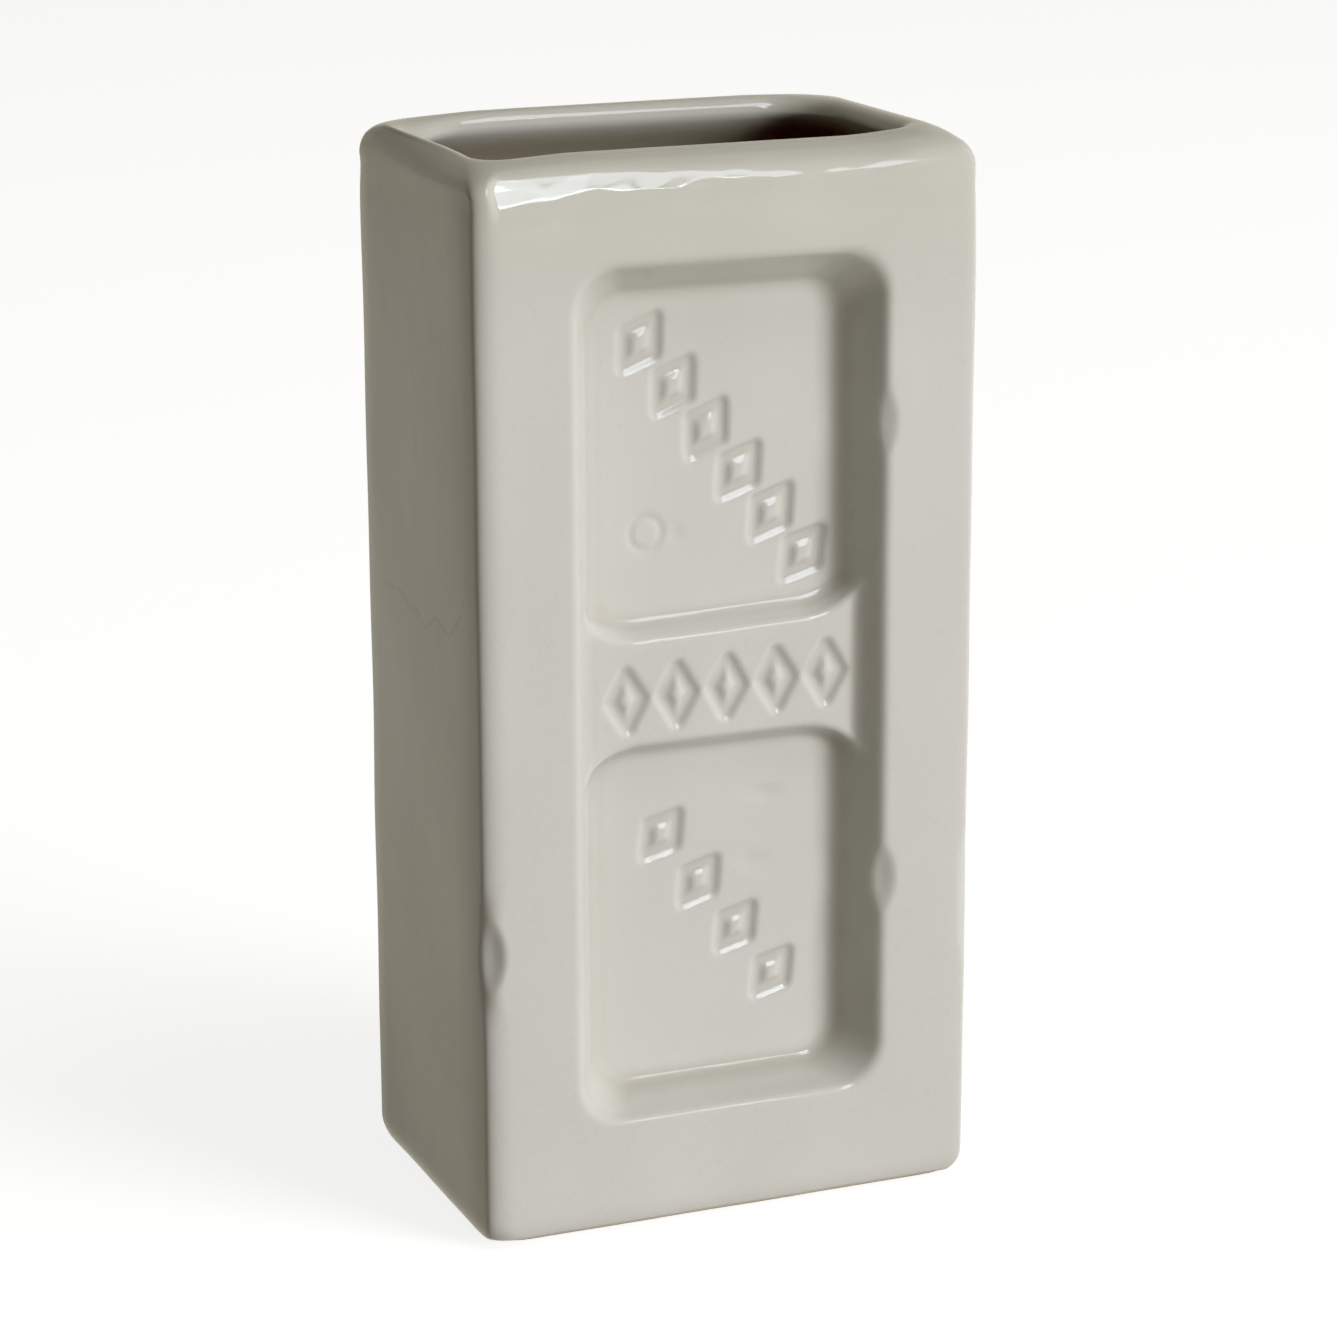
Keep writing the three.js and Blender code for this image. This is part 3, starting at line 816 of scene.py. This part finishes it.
def tree_inputs(tree):
    for name, kind, value in GIVEN:
        socket = tree.interface.new_socket(name=name, in_out="INPUT", socket_type="NodeSocket" + kind)
        if value is not None:
            socket.default_value = value
    tree.interface.new_socket(name="Skin", in_out="OUTPUT", socket_type="NodeSocketGeometry")
    return tree.nodes.new("NodeGroupInput").outputs


print("a row is given:", ", ".join(name for name, _, _ in GIVEN))


# %% A row of diamond outlines, each with its own small turn
WOBBLE = 0.07


def diamond_outlines(tree, given):
    ends = {"Start Location": given["First mark"], "Offset": given["Last mark"]}
    ends["Count"] = given["Marks"]
    line = node(tree, "GeometryNodeMeshLine", ends, mode="END_POINTS")
    half = given["Half height"]
    size = {"Width": given["Mark width"], "Bottom Height": half, "Top Height": half}
    diamond = node(tree, "GeometryNodeCurvePrimitiveQuadrilateral", size, mode="KITE")
    wobble = node(tree, "FunctionNodeRandomValue", {"Seed": given["Seed"]}, data_type="FLOAT")
    least, most = [socket for socket in wobble.inputs if socket.type == "VALUE"][:2]
    least.default_value, most.default_value = -WOBBLE, WOBBLE
    wobbled = next(socket for socket in wobble.outputs if socket.type == "VALUE")
    turned = calculate(tree, "ADD", given["Turn"], wobbled)
    facing = node(tree, "ShaderNodeCombineXYZ", {"X": math.pi / 2, "Y": turned})
    row = {"Points": line.outputs[0], "Instance": diamond.outputs[0], "Rotation": facing.outputs[0]}
    placed = node(tree, "GeometryNodeInstanceOnPoints", row)
    outlines = node(tree, "GeometryNodeRealizeInstances", {"Geometry": placed.outputs[0]})
    return node(tree, "GeometryNodeCurveToMesh", {"Curve": outlines.outputs[0]}).outputs[0]


print("marks are turned by up to", round(math.degrees(WOBBLE), 1), "degrees")


# %% How fully each point of the front is pressed, from its distance to an outline
def stored_number(tree, name):
    return node(tree, "GeometryNodeInputNamedAttribute", {"Name": name}, data_type="FLOAT").outputs[0]


def share_pressed(tree, given, outlines):
    here = tree.nodes.new("GeometryNodeInputPosition").outputs[0]
    where = node(tree, "ShaderNodeSeparateXYZ", {0: here}).outputs
    flat = node(tree, "ShaderNodeCombineXYZ", {"X": where["X"], "Z": where["Z"]})
    near = node(tree, "GeometryNodeProximity", {0: outlines}, target_element="EDGES")
    sample = next(s for s in near.inputs if s.name in ("Source Position", "Sample Position"))
    tree.links.new(flat.outputs[0], sample)
    edge = {
        "Value": near.outputs["Distance"],
        "From Min": calculate(tree, "ADD", given["Stroke"], given["Melt"]),
        "From Max": calculate(tree, "SUBTRACT", given["Stroke"], given["Melt"]),
    }
    pressed = node(tree, "ShaderNodeMapRange", edge, interpolation_type="SMOOTHSTEP").outputs[0]
    return calculate(tree, "MULTIPLY", pressed, stored_number(tree, "front_face"))


# %% The tree that presses a row of marks
# Pressed strokes add to the pool share, so they also take painted shade.
POOL_AND_SHADE_IN_MARK = 0.5


def pressing_tree():
    tree = bpy.data.node_groups.new("press a row of marks", "GeometryNodeTree")
    given = tree_inputs(tree)
    pressed = share_pressed(tree, given, diamond_outlines(tree, given))
    in_mark = calculate(tree, "MULTIPLY", pressed, POOL_AND_SHADE_IN_MARK)
    pooled_and_shaded = calculate(tree, "ADD", in_mark, stored_number(tree, "pool_and_shade"))
    skin = {"Geometry": given["Skin"], "Name": "pool_and_shade"}
    settings = {"data_type": "FLOAT", "domain": "POINT"}
    stored = node(tree, "GeometryNodeStoreNamedAttribute", skin, **settings)
    value = next(s for s in stored.inputs if s.name == "Value" and s.enabled)
    tree.links.new(pooled_and_shaded, value)
    depth = calculate(tree, "MULTIPLY", pressed, given["Depth"])
    push = node(tree, "ShaderNodeCombineXYZ", {"Y": depth})
    skin = {"Geometry": stored.outputs[0], "Offset": push.outputs[0]}
    moved = node(tree, "GeometryNodeSetPosition", skin)
    real = node(tree, "GeometryNodeRealizeInstances", {"Geometry": moved.outputs[0]})
    skin = {"Geometry": real.outputs[0], "Material": given["Glaze"]}
    coated = node(tree, "GeometryNodeSetMaterial", skin)
    node(tree, "NodeGroupOutput", {0: coated.outputs[0]})
    return tree


press_row = pressing_tree()
print("the tree that presses a row has", len(press_row.nodes), "nodes")

# %% [markdown]
# ## The glaze
# A pale, opaque, glossy glaze. Its colour is even, a little greyer where it pooled, with painted
# shade in the hollows and on the chips, and a painted shade makes it darker and warmer towards the
# rim. Inside it carries painted shade, and a brown painted shadow at the right end. Under the gloss
# are tiny specks from the clay, and the gloss itself has a faint orange peel. On the left side a dark
# line is painted as the shade of a hairline crease left from the mould. A painted picture could carry
# all this, but noise and the numbers stored on the mesh stay sharp from any distance, and need no
# unwrapping.

# %% Glaze colours, and the heights and places in metres between which they change
GLAZE_COLOUR = (0.572, 0.566, 0.532, 1)
# Greyer pooled glaze with painted shade in the hollows and pressed marks; the random clouds take the
# same tone.
POOL_AND_SHADE_COLOUR = (0.47, 0.452, 0.405, 1)
# Painted shade on the chips' facets.
CHIP_SHADE_COLOUR = (0.34, 0.33, 0.29, 1)
# Painted shade inside the vase, below the lip.
INSIDE_SHADE_COLOUR = (0.43, 0.385, 0.29, 1)
# Painted shadow at the inside's right end.
RIGHT_END_SHADOW_COLOUR = (0.24, 0.075, 0.03, 1)
# Painted shade for the left side's hairline crease, which has no relief.
CREASE_SHADE_COLOUR = (0.36, 0.34, 0.29, 1)
SPECK_COLOUR = (0.43, 0.4, 0.34, 1)
# Painted shade: the glaze turns darker and warmer towards the rim.
RIM_SHADE_COLOUR = (0.5, 0.488, 0.42, 1)
# Where across the vase the painted shadow at the right end starts and is full.
RIGHT_SHADOW_FROM, RIGHT_SHADOW_FULL = 0.027, 0.036
# Heights where the painted rim shade starts and is full.
RIM_SHADE_FROM, RIM_SHADE_FULL = 0.172, 0.202
print("the warmer tone starts", round(1000 * (HEIGHT / 1000 - RIM_SHADE_FROM), 1), "mm below the top")


# %% Helpers for materials, with the numbers of the mix node's colour sockets
FIRST_COLOUR, SECOND_COLOUR, MIXED_COLOUR = 6, 7, 2


def material_tree(name):
    material = bpy.data.materials.new(name)
    material.use_nodes = True
    material.node_tree.nodes.clear()
    return material, material.node_tree


def blend_colour(tree, share, first, second):
    inputs = {"Factor": share, FIRST_COLOUR: first, SECOND_COLOUR: second}
    return node(tree, "ShaderNodeMix", inputs, data_type="RGBA").outputs[MIXED_COLOUR]


def stretch(tree, value, low, high, to_low=0.0, to_high=1.0):
    inputs = {"Value": value, "From Min": low, "From Max": high, "To Min": to_low, "To Max": to_high}
    return node(tree, "ShaderNodeMapRange", inputs).outputs[0]


def noise(tree, where, scale, detail=3.0):
    inputs = {"Vector": where, "Scale": scale, "Detail": detail}
    return node(tree, "ShaderNodeTexNoise", inputs).outputs[0]


# %% The mould's hairline crease on the left side: how high it runs at each place along the depth
CREASE_LOW, CREASE_HIGH, CREASE_HALF, CREASE_SHADE_SHARE = 110.0, 140.0, 1.0, 0.8
CREASE_SIDE, CREASE_BACK, CREASE_FRONT = (-49.0, -50.5), (27.0, 8.0), (-28.8, -27.2)
CREASE = [
    (-27.6, 136.0),
    (-26.2, 130.3),
    (-24.3, 126.2),
    (-17.3, 121.0),
    (-9.8, 122.7),
    (-3.3, 119.1),
    (-0.8, 121.4),
    (6.5, 121.8),
    (11.3, 123.2),
    (26.0, 123.0),
]


def crease_curve(tree, along):
    """How high the crease runs, along the depth of the side."""
    half, rise = DEPTH / 2, CREASE_HIGH - CREASE_LOW
    share = stretch(tree, along, -half / 1000, half / 1000)
    curve = node(tree, "ShaderNodeFloatCurve", {"Value": share})
    points = curve.mapping.curves[0].points
    spots = [((y + half) / DEPTH, (z - CREASE_LOW) / rise) for y, z in CREASE]
    points[0].location, points[1].location = spots[0], spots[-1]
    for spot in spots[1:-1]:
        points.new(*spot)
    for point in points:
        point.handle_type = "VECTOR"
    curve.mapping.update()
    return stretch(tree, curve.outputs[0], 0, 1, CREASE_LOW / 1000, CREASE_HIGH / 1000)


# The crease has no relief: a dark line painted along it stands for its shade.
def crease_shade_line(tree, place):
    gap = calculate(tree, "SUBTRACT", place["Z"], crease_curve(tree, place["Y"]))
    share = stretch(tree, calculate(tree, "ABSOLUTE", gap), CREASE_HALF / 1000, 0)
    for along, (start, end) in (("X", CREASE_SIDE), ("Y", CREASE_BACK), ("Y", CREASE_FRONT)):
        part = stretch(tree, place[along], start / 1000, end / 1000)
        share = calculate(tree, "MULTIPLY", share, part)
    return stretch(tree, share, 0, 1, 0, CREASE_SHADE_SHARE)


print("the crease is drawn through", len(CREASE), "points")

# %% Where each tone starts and is full, how strong it is there, and how fine the noises are
POOL_AND_SHADE_RANGE, POOL_AND_SHADE_SHARE = (0.05, 0.8), 0.8
CHIP_SHADE_RANGE, CHIP_SHADE_SHARE = (0.1, 2.2), 0.55
CLOUD_SCALE, CLOUD_RANGE, CLOUD_SHARE = 28.0, (0.35, 0.65), 0.12
SPECK_SCALE, SPECK_RANGE, SPECK_SHARE = 900.0, (0.6, 0.75), 0.12
GLOSS_SCALE, GLOSS_RANGE, ROUGHNESS = 60.0, (0.3, 0.7), (0.05, 0.1)
PEEL_SCALE, PEEL_STRENGTH, PEEL_HEIGHT = 160.0, 0.05, 0.001
RIM_SHADE_SHARE, GLASS_IOR, PLAIN_DETAIL = 0.5, 1.5, 1.0
print("the specks lie about", round(1000 / SPECK_SCALE, 1), "mm apart")


# %% Glaze material
def stored_on_mesh(tree, name):
    return node(tree, "ShaderNodeAttribute", attribute_name=name).outputs["Fac"]


def glaze_colour(tree, where):
    place = node(tree, "ShaderNodeSeparateXYZ", {0: where}).outputs
    clouds = noise(tree, where, CLOUD_SCALE)
    dots = noise(tree, where, SPECK_SCALE, PLAIN_DETAIL)
    # Hollows and pressed marks: greyer pooled glaze and painted shade.
    pooled_and_shaded = stretch(tree, stored_on_mesh(tree, "pool_and_shade"), *POOL_AND_SHADE_RANGE, 0.0, POOL_AND_SHADE_SHARE)
    cloudy = stretch(tree, clouds, *CLOUD_RANGE, 0.0, CLOUD_SHARE)
    # Chipped places take painted shade.
    chip_shade = stretch(tree, stored_on_mesh(tree, "chip_shade"), *CHIP_SHADE_RANGE, 0.0, CHIP_SHADE_SHARE)
    specks = stretch(tree, dots, *SPECK_RANGE, 0.0, SPECK_SHARE)
    # Painted shade, darker and warmer towards the rim.
    rim_shade = stretch(tree, place["Z"], RIM_SHADE_FROM, RIM_SHADE_FULL, 0.0, RIM_SHADE_SHARE)
    # The inside's right end takes a brown painted shadow.
    right_end_shadow = stretch(tree, place["X"], RIGHT_SHADOW_FROM, RIGHT_SHADOW_FULL)
    # Inside: painted shade, turning to a brown painted shadow at the right end.
    inside_shade_colour = blend_colour(tree, right_end_shadow, INSIDE_SHADE_COLOUR, RIGHT_END_SHADOW_COLOUR)
    colour = GLAZE_COLOUR
    for share, tone in (
        (pooled_and_shaded, POOL_AND_SHADE_COLOUR),
        (cloudy, POOL_AND_SHADE_COLOUR),
        (chip_shade, CHIP_SHADE_COLOUR),
        (specks, SPECK_COLOUR),
        (rim_shade, RIM_SHADE_COLOUR),
        (stored_on_mesh(tree, "within"), inside_shade_colour),
        (crease_shade_line(tree, place), CREASE_SHADE_COLOUR),
    ):
        colour = blend_colour(tree, share, colour, tone)
    return colour


def glaze_material():
    material, tree = material_tree("pale glossy glaze")
    where = tree.nodes.new("ShaderNodeTexCoord").outputs["Object"]
    orange_peel = noise(tree, where, PEEL_SCALE, PLAIN_DETAIL)
    bump = {"Height": orange_peel, "Strength": PEEL_STRENGTH, "Distance": PEEL_HEIGHT}
    finish = {
        "Base Color": glaze_colour(tree, where),
        "Roughness": stretch(tree, noise(tree, where, GLOSS_SCALE), *GLOSS_RANGE, *ROUGHNESS),
        "IOR": GLASS_IOR,
        "Normal": node(tree, "ShaderNodeBump", bump).outputs[0],
    }
    shader = node(tree, "ShaderNodeBsdfPrincipled", finish)
    node(tree, "ShaderNodeOutputMaterial", {0: shader.outputs[0]})
    print(material.name, "has", len(tree.nodes), "nodes")
    return material


glaze = glaze_material()
glazed.data.materials.append(glaze)


# %% Press the three rows
ROWS = [
    {"first": (-14.7, 176.2), "last": (19.3, 132.0), "marks": 6, "size": (7.4, 11.0), "turn": 0.65},
    {"first": (-19.7, 107.3), "last": (22.2, 108.8), "marks": 5, "size": (6.2, 10.6), "turn": 0.0},
    {"first": (-10.7, 77.9), "last": (13.0, 46.2), "marks": 4, "size": (7.0, 10.0), "turn": 0.65},
]


def press(piece, tree, row, seed):
    inputs = [item for item in tree.interface.items_tree if item.in_out == "INPUT"]
    names = {item.name: item.identifier for item in inputs}
    modifier = piece.modifiers.new("pressed row", "NODES")
    modifier.node_group = tree
    width, height = row["size"]
    settings = {
        "First mark": (row["first"][0] / 1000, 0.0, row["first"][1] / 1000),
        "Last mark": (row["last"][0] / 1000, 0.0, row["last"][1] / 1000),
        "Marks": row["marks"],
        "Mark width": width / 1000,
        "Half height": height / 2000,
        "Turn": row["turn"],
        "Seed": seed,
        "Glaze": glaze,
    }
    for name, value in settings.items():
        modifier[names[name]] = value


def made_solid(piece):
    depsgraph = bpy.context.evaluated_depsgraph_get()
    mesh = bpy.data.meshes.new_from_object(piece.evaluated_get(depsgraph))
    piece.modifiers.clear()
    piece.data = mesh
    mesh.shade_smooth()


for seed, row in enumerate(ROWS, 1):
    press(glazed, press_row, row, seed)
made_solid(glazed)
print("pressed", sum(row["marks"] for row in ROWS), "marks;", len(glazed.data.polygons), "faces")

# %% [markdown]
# ## The clay under the glaze
# Only a narrow line of bare clay shows, round the foot and under it. A plain ring would do for
# that, but this piece stands for the whole clay body, so it is made whole. It comes from the same
# sections, moved in behind the skin, and so the two can never pass through each other.

# %% Clay body, with the steps in and up of the shallow hollow and the ring under its foot
CLEARANCE, HAIR, LEAST_CORNER = 0.2, 0.03, 1.0
CLAY_BEHIND = SKIN + CLEARANCE
HOLLOW_EDGE = [(FOOT_RING + 2, FOOT_HOLLOW), (FOOT_RING, 0.4), (FOOT_RING - 1, 0.0)]
FOOT_STEPS = HOLLOW_EDGE + [(0.8, 0.0), (0.2, 0.25)]


def clay_depth(z, inside):
    if inside:
        return CLAY_BEHIND
    ease = min(max((z - BARE_FOOT) / FOOT_RISE, 0), 1)
    return GLAZE + HAIR + (CLAY_BEHIND - GLAZE - HAIR) * ease


def clay_body():
    rings, _ = rings_from(*skin_rings(key_levels(), PLAIN_STEPS, clay_depth), BARE_FOOT / 2)
    half_x, half_y = WIDTH / 2 - FOOT_RUN - GLAZE, DEPTH / 2 - FOOT_RUN - GLAZE
    under = []
    for step_in, z in FOOT_STEPS:
        corner = max(FOOT_CORNER - step_in, LEAST_CORNER)
        outline, _ = ring_plan(half_x - step_in, half_y - step_in, corner, corner, 1.0)
        outline[:, 0] += drawn_in(outline[:, 0], outline[:, 1])
        under.append(np.column_stack([outline, np.full(len(outline), z)]))
    all_rings = under + rings
    count = len(rings[0])
    points = np.vstack(all_rings + [[[0, 0, FOOT_HOLLOW]], [[0, 0, FLOOR - CLAY_BEHIND]]])
    poles = len(all_rings) * count
    faces = skin_faces(count, 0, len(all_rings))
    faces += cap_faces(count, 0, poles, flip=True)
    faces += cap_faces(count, poles - count, poles + 1)
    return mesh_object("bare_clay", points, faces)


clay = clay_body()


# %% Bare clay material
CLAY_COLOUR, CLAY_GRAIN_COLOUR = (0.60, 0.50, 0.38, 1), (0.48, 0.38, 0.27, 1)
GRAIN_SCALE, GRAIN_DETAIL, GRAIN_RANGE = 900.0, 4.0, (0.35, 0.65)
GRAIN_STRENGTH, GRAIN_HEIGHT, CLAY_ROUGHNESS = 0.3, 0.0003, 0.85


def clay_material():
    material, tree = material_tree("bare fired clay")
    where = tree.nodes.new("ShaderNodeTexCoord").outputs["Object"]
    grain = noise(tree, where, GRAIN_SCALE, GRAIN_DETAIL)
    bump = {"Height": grain, "Strength": GRAIN_STRENGTH, "Distance": GRAIN_HEIGHT}
    share = stretch(tree, grain, *GRAIN_RANGE)
    finish = {
        "Base Color": blend_colour(tree, share, CLAY_COLOUR, CLAY_GRAIN_COLOUR),
        "Roughness": CLAY_ROUGHNESS,
        "Normal": node(tree, "ShaderNodeBump", bump).outputs[0],
    }
    shader = node(tree, "ShaderNodeBsdfPrincipled", finish)
    node(tree, "ShaderNodeOutputMaterial", {0: shader.outputs[0]})
    print(material.name, "has", len(tree.nodes), "nodes")
    return material


clay.data.materials.append(clay_material())

# %% [markdown]
# ## The room
# A plain pale table and soft light, as in a shop photograph. A broad light stands low at the right
# of the front, and a second one high above it, so the left side and the frog's right wall fall into
# shade. The glaze mirrors what is round it: a window of two panes, with a strip of bright sky low
# in it, gives the streak on the top edge. One set of lamps could do both jobs, but then the streak
# couldn't be moved without a change in the shading. So the window shows only in the gloss, and the
# two lights never do. The table and the room are white to the camera and cream in the gloss,
# because a white room turns the pale rims blue, and the table keeps the vase's shadow.

# %% Shaders for what is seen directly: white to the camera, cream in the gloss
WHITE, CREAM, CREAM_STRENGTH = (1, 1, 1, 1), (0.8, 0.76, 0.63, 1), 0.9


def seen_directly(tree):
    path = tree.nodes.new("ShaderNodeLightPath").outputs
    seen = calculate(tree, "ADD", path["Is Camera Ray"], path["Is Glossy Ray"])
    either = {0: seen, 1: path["Is Transmission Ray"]}
    return node(tree, "ShaderNodeMath", either, operation="ADD", use_clamp=True).outputs[0]


def mixed(tree, share, first, second):
    return node(tree, "ShaderNodeMixShader", {0: share, 1: first, 2: second}).outputs[0]


def white_or_cream(tree, kind, strength):
    white = node(tree, kind, {"Color": WHITE, "Strength": strength}).outputs[0]
    cream = node(tree, kind, {"Color": CREAM, "Strength": CREAM_STRENGTH}).outputs[0]
    path = tree.nodes.new("ShaderNodeLightPath").outputs
    return mixed(tree, path["Is Glossy Ray"], white, cream)


# %% The table
TABLE_COLOUR, SHADE_COLOUR = (0.5, 0.47, 0.4, 1), (0.4, 0.4, 0.4, 1)
TABLE_WHITE, TABLE_SIZE, TABLE_GAP = 0.85, 6, 0.0002


def table_material():
    material, tree = material_tree("pale table")
    plain = node(tree, "ShaderNodeBsdfDiffuse", {"Color": TABLE_COLOUR}).outputs[0]
    shade = node(tree, "ShaderNodeBsdfDiffuse", {"Color": SHADE_COLOUR}).outputs[0]
    glow = white_or_cream(tree, "ShaderNodeEmission", TABLE_WHITE)
    lit = node(tree, "ShaderNodeAddShader", {0: shade, 1: glow}).outputs[0]
    seen = mixed(tree, seen_directly(tree), plain, lit)
    node(tree, "ShaderNodeOutputMaterial", {0: seen})
    return material


def table_top():
    bpy.ops.mesh.primitive_plane_add(size=TABLE_SIZE, location=(0, 0, -TABLE_GAP))
    table = bpy.context.object
    table.name = "table"
    table.data.materials.append(table_material())
    print(table.name, "lies", round(TABLE_GAP * 1000, 2), "mm under the foot")


table_top()

# %% The room around it
AMBIENT_COLOUR, AMBIENT = (1.0, 0.86, 0.6, 1), 0.06


def room_light():
    world = bpy.data.worlds.new("room")
    bpy.context.scene.world = world
    world.use_nodes = True
    tree = world.node_tree
    tree.nodes.clear()
    around = node(tree, "ShaderNodeBackground", {"Color": AMBIENT_COLOUR, "Strength": AMBIENT})
    seen = white_or_cream(tree, "ShaderNodeBackground", 1.0)
    room = mixed(tree, seen_directly(tree), around.outputs[0], seen)
    node(tree, "ShaderNodeOutputWorld", {0: room})
    print("room light:", AMBIENT)


room_light()


# %% Lamps: angle round the vase and up, distance, width and height in metres, power and colour
def pane(name, azimuth, elevation, distance, width, height, power, colour):
    lamp = bpy.data.lights.new(name, "AREA")
    lamp.shape = "RECTANGLE"
    lamp.size, lamp.size_y = width, height
    lamp.energy, lamp.color = power, colour
    thing = bpy.data.objects.new(name, lamp)
    bpy.context.collection.objects.link(thing)
    a, e = math.radians(azimuth), math.radians(elevation)
    toward = from_angles(a, e)
    thing.location = Vector((0, 0, AIM_HEIGHT)) + toward * distance
    thing.rotation_euler = toward.to_track_quat("Z", "Y").to_euler()
    print(name, "stands at", [round(v, 2) for v in thing.location])
    return thing


for lamp in (
    pane("left window pane", 13.0, 42, 1.6, 0.34, 0.8, 6.4, (0.8, 0.89, 1.0)),
    pane("right window pane", 25.6, 42, 1.6, 0.17, 0.8, 2.5, (0.8, 0.89, 1.0)),
    pane("bright sky low in the window", 14.2, 29.5, 1.6, 0.38, 0.07, 1.25, (0.9, 0.95, 1.0)),
):
    lamp.visible_diffuse = False
for lamp in (
    pane("broad front light", 37, 9, 4.0, 1.6, 1.6, 167, (0.97, 0.98, 1)),
    pane("high light", 40, 60, 4.0, 1.6, 1.6, 38, (1, 0.97, 0.9)),
):
    lamp.visible_glossy = False

# %% [markdown]
# ## The pieces on the body
# Both pieces ride on the vase's one body and stand for its two solids.

# %% Say which piece is which
bpy.context.scene.view_settings.view_transform = "Standard"
for piece, replaced, finish in ((glazed, "glaze_coat", "glaze"), (clay, "clay_body", "clay")):
    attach(piece, "root")
    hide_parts(replaced)
